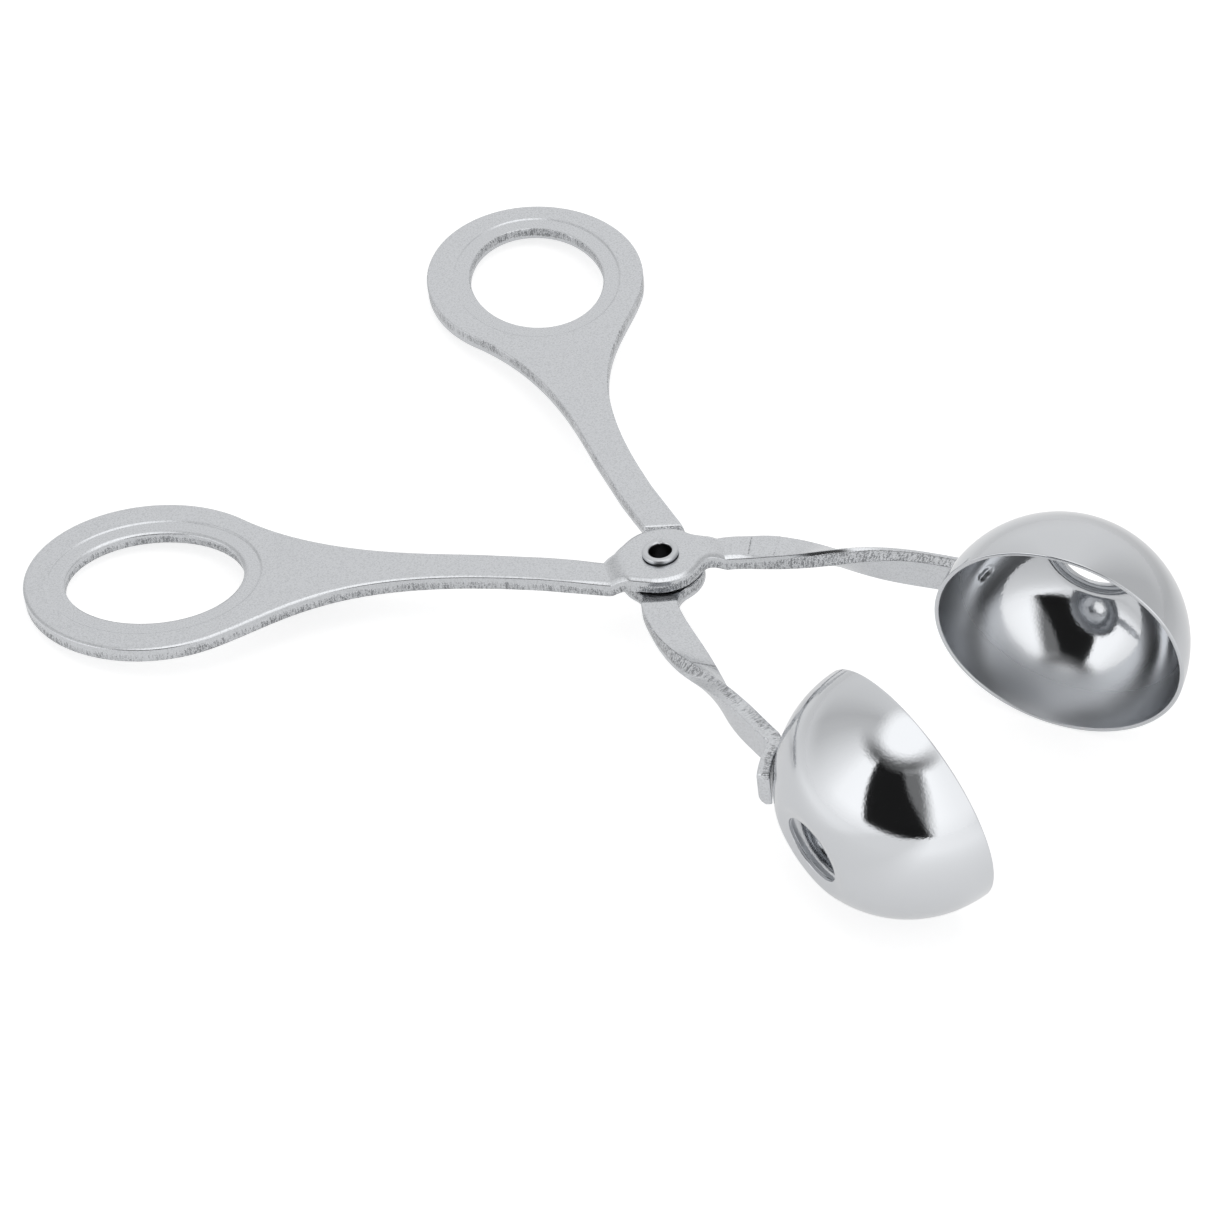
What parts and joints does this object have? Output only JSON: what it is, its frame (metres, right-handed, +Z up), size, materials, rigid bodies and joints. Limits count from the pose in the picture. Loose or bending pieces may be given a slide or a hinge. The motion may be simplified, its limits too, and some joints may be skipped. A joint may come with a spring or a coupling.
{
  "type": "meatball tongs",
  "caption": "Steel scissor tongs that press a meatball between half-ball bowls with drain holes, worked by oval finger loops.",
  "frame": {"origin": "middle of the underside of the whole part's box, on the surface that it rests on", "axes": "+Z up from the table; +X from the finger loops to the bowls, along the table; +Y across, towards the upper arm's bowl"},
  "size_m": [0.1946, 0.1522, 0.0462],
  "materials": {
    "satin_plated_steel": "plated pressed strip, tumbled to a satin face with rough sheared edges",
    "mirror_plated_steel": "mirror plated",
    "bright_rivet_steel": "bright drawn and rolled"
  },
  "bodies": {
    "lower_half": {"lower_arm": "satin_plated_steel", "lower_bowl": "mirror_plated_steel", "pivot_rivet": "bright_rivet_steel"},
    "upper_half": {"upper_arm": "satin_plated_steel", "upper_bowl": "mirror_plated_steel"}
  },
  "joints": [
    {"name": "pivot", "type": "hinge", "parent": "lower_half", "child": "upper_half", "pos_m": [0.00297, 0, 0.01405], "axis": [-0.1249, 0, 0.9922], "range_deg": [-32.85, 22.5]}
  ]
}
